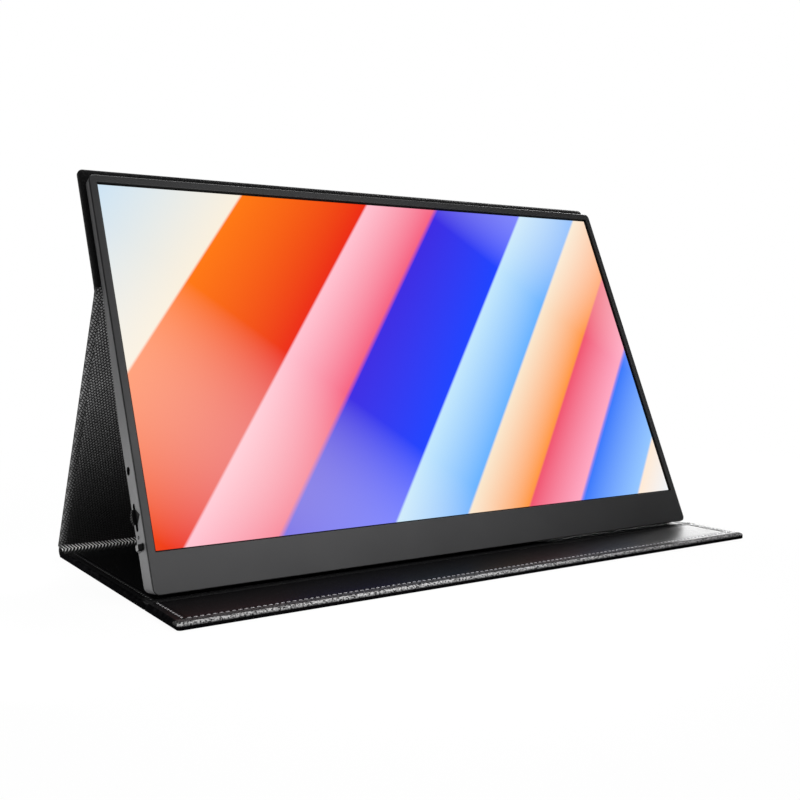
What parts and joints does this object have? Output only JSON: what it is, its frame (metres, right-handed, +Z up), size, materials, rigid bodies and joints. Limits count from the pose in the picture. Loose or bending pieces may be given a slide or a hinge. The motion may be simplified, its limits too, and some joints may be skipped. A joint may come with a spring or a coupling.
{
  "type": "portable monitor with folding cover stand",
  "caption": "Flat wide screen in a slim housing, leaning on a leather folio whose strut, base and lip fold; a jog lever, power button and sockets sit in its side walls.",
  "frame": {"origin": "on the table under the middle of the folio's base and lip", "axes": "+X to the viewer's right, +Y to the back, +Z up"},
  "size_m": [0.3636, 0.1729, 0.2094],
  "materials": {
    "folio_leather": "fine pebble grain, satin",
    "folio_lining": "fine diagonal twill",
    "base_lining": "polished pebble grain",
    "stiff_board": "plain grey board",
    "magnet": "nickel plated",
    "housing": "fine satin texture",
    "bezel": "fine matte texture",
    "screen": "anti-glare, lit",
    "film": "translucent",
    "guide": "clear",
    "reflector": "white",
    "tape": "black foam",
    "chassis": "plain sheet",
    "circuit": "lacquered",
    "chip": "moulded",
    "cable": "polyimide film",
    "steel": "bright",
    "control": "fine matte",
    "switch": "moulded",
    "lamp": "clear",
    "speaker": "moulded"
  },
  "bodies": {
    "base": {"base_skin": "folio_leather", "base_board": "stiff_board", "base_lining": "base_lining", "base_magnets": "magnet", "rear_fold_strip": "folio_leather", "rear_fold_welt": "folio_lining", "lip_fold_strip": "folio_leather"},
    "lip": {"lip_skin": "folio_leather", "lip_board": "stiff_board", "lip_lining": "base_lining"},
    "strut": {"strut_skin": "folio_leather", "strut_board": "stiff_board", "strut_lining": "folio_lining", "back_fold_strip": "folio_leather"},
    "monitor": {"upper_panel_skin": "folio_leather", "upper_panel_board": "stiff_board", "upper_panel_lining": "folio_lining", "upper_panel_magnets": "magnet", "rear_cover": "housing", "front_bezel": "bezel", "case_screws": "steel", "docking_magnets": "magnet", "audio_jack": "control", "jog_switch": "switch", "power_switch": "switch", "status_led": "lamp", "speaker_left": "speaker", "speaker_right": "speaker", "panel_tape": "tape", "lcd_glass": "screen", "optical_films": "film", "light_guide": "guide", "reflector_sheet": "reflector", "led_light_bar": "circuit", "panel_chassis": "chassis", "main_board": "circuit", "key_board": "circuit", "board_chips": "chip", "board_screws": "steel", "driver_board": "circuit", "display_ribbon": "cable", "key_cable": "cable", "usb_c_port_lower": "steel", "usb_c_port_upper": "steel", "mini_hdmi_port": "steel"},
    "jog_carrier": {"jog_carrier": "switch"},
    "jog_lever": {"jog_lever": "control"},
    "power_button": {"power_button": "control"}
  },
  "joints": [
    {"name": "strut_fold", "type": "hinge", "parent": "base", "child": "strut", "pos_m": [0, 0.08305, 0.0034], "axis": [-1, 0, 0], "range_deg": [0, 110.95], "deforming": ["rear_fold_strip"]},
    {"name": "back_fold", "type": "hinge", "parent": "strut", "child": "monitor", "pos_m": [0, 0.0265, 0.145], "axis": [1, 0, 0], "range_deg": [0, 40.63], "deforming": ["back_fold_strip"]},
    {"name": "lip_fold", "type": "hinge", "parent": "base", "child": "lip", "pos_m": [0, -0.04715, 0.0034], "axis": [-1, 0, 0], "range_deg": [0, 100], "deforming": ["lip_fold_strip"]},
    {"name": "jog_press", "type": "slide", "parent": "monitor", "child": "jog_carrier", "axis": [1, 0, 0], "range_m": [0, 0.0005], "stiffness_N_per_m": 600},
    {"name": "jog_rock", "type": "hinge", "parent": "jog_carrier", "child": "jog_lever", "pos_m": [-0.16938, -0.02287, 0.03754], "axis": [0, 0.9155, -0.4024], "range_deg": [-16, 16], "stiffness_Nm_per_rad": 0.02},
    {"name": "power_press", "type": "slide", "parent": "monitor", "child": "power_button", "axis": [1, 0, 0], "range_m": [0, 0.0005], "stiffness_N_per_m": 600}
  ],
  "couplings": [
    {"joint": "back_fold", "follows": "strut_fold", "ratio": 0.36574}
  ]
}
